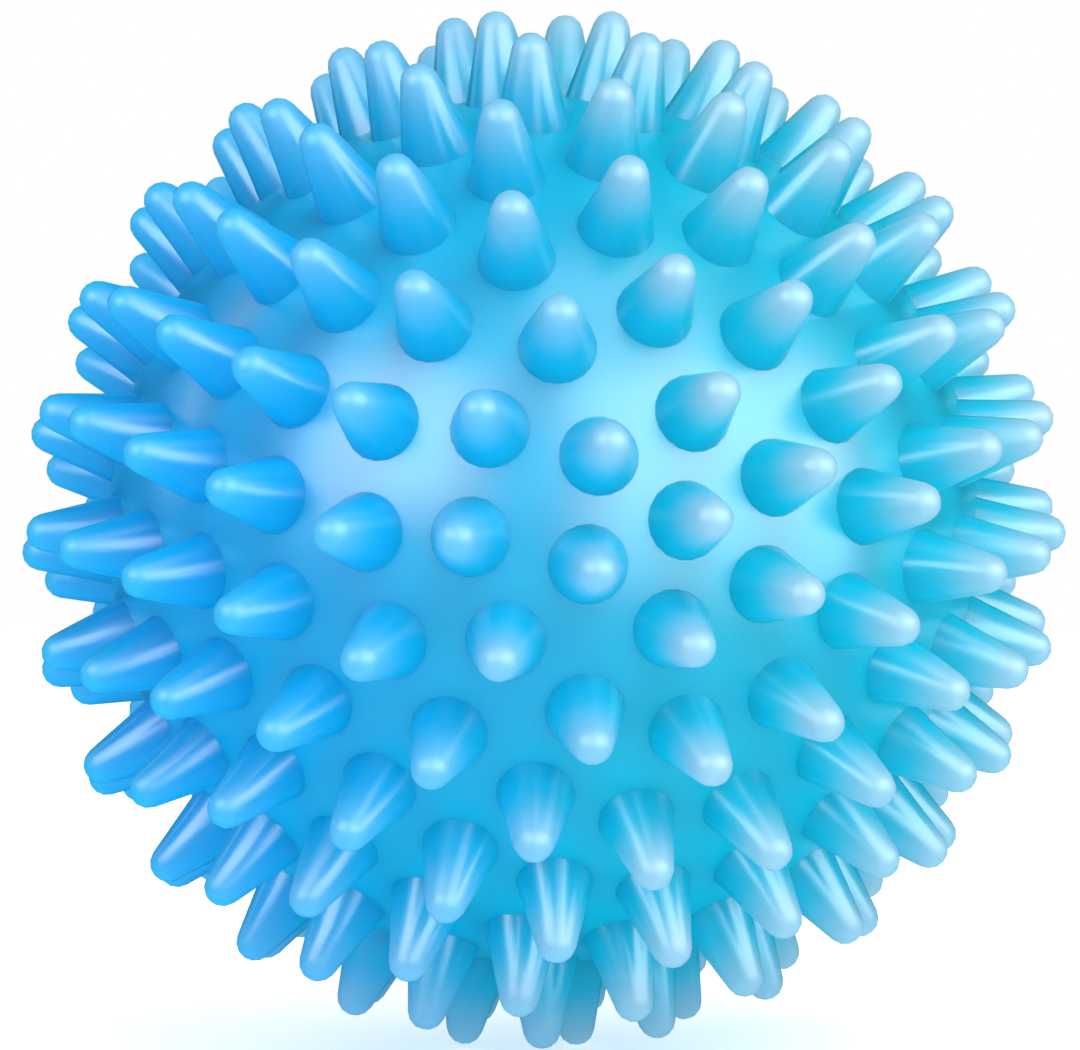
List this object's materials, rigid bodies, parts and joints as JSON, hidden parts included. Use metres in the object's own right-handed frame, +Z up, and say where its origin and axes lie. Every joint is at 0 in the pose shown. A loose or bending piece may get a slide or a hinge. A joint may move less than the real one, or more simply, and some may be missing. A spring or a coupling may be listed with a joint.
{
  "type": "sensory ball",
  "caption": "Hollow soft ball covered in round-tipped spikes set in rings, for hands to squeeze and roll, with an air valve and its pull-out plug.",
  "frame": {"origin": "centre of the ball", "axes": "+Z up; the rings of spikes lie around Y, with a single spike on the front pole at -Y and the air valve on the back pole at +Y; +X to the right seen from the front"},
  "size_m": [0.0898, 0.0889, 0.0899],
  "materials": {
    "soft_pvc": "soft translucent sky-blue PVC with a gloss, paler at the spike tips",
    "firm_pvc": "firmer pale blue PVC, satin",
    "plug_pvc": "white PVC, satin"
  },
  "bodies": {
    "ball": {"ball_skin": "soft_pvc", "valve_seat": "firm_pvc"},
    "plug": {"valve_plug": "plug_pvc"}
  },
  "joints": [
    {"name": "plug_pull", "type": "slide", "parent": "ball", "child": "plug", "axis": [0, 1, 0], "range_m": [0, 0.012]}
  ]
}
